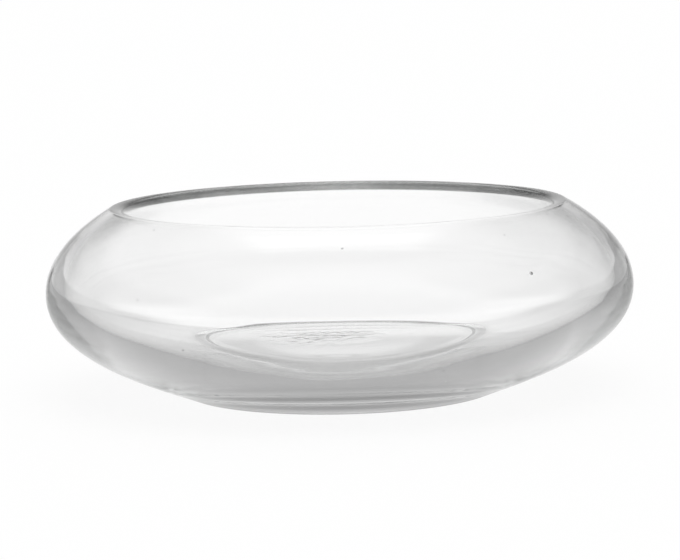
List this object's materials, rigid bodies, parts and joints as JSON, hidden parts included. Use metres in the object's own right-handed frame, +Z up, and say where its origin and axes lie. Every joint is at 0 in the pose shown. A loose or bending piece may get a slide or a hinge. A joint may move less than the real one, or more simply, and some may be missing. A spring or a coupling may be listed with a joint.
{
  "type": "floating candle bowl",
  "caption": "Squat clear glass bowl with an in-turned shoulder, a wide rounded mouth and a ground foot ring, to hold water with floating candles.",
  "frame": {"origin": "middle of the foot ring, on the surface that the bowl stands on", "axes": "+Z up, along the axis that the bowl is turned about, out of the mouth; X and Y are free"},
  "size_m": [0.3, 0.3, 0.096],
  "materials": {
    "clear_glass": "clear, fire-polished"
  },
  "bodies": {
    "root": {"glass_bowl": "clear_glass"}
  },
  "joints": []
}
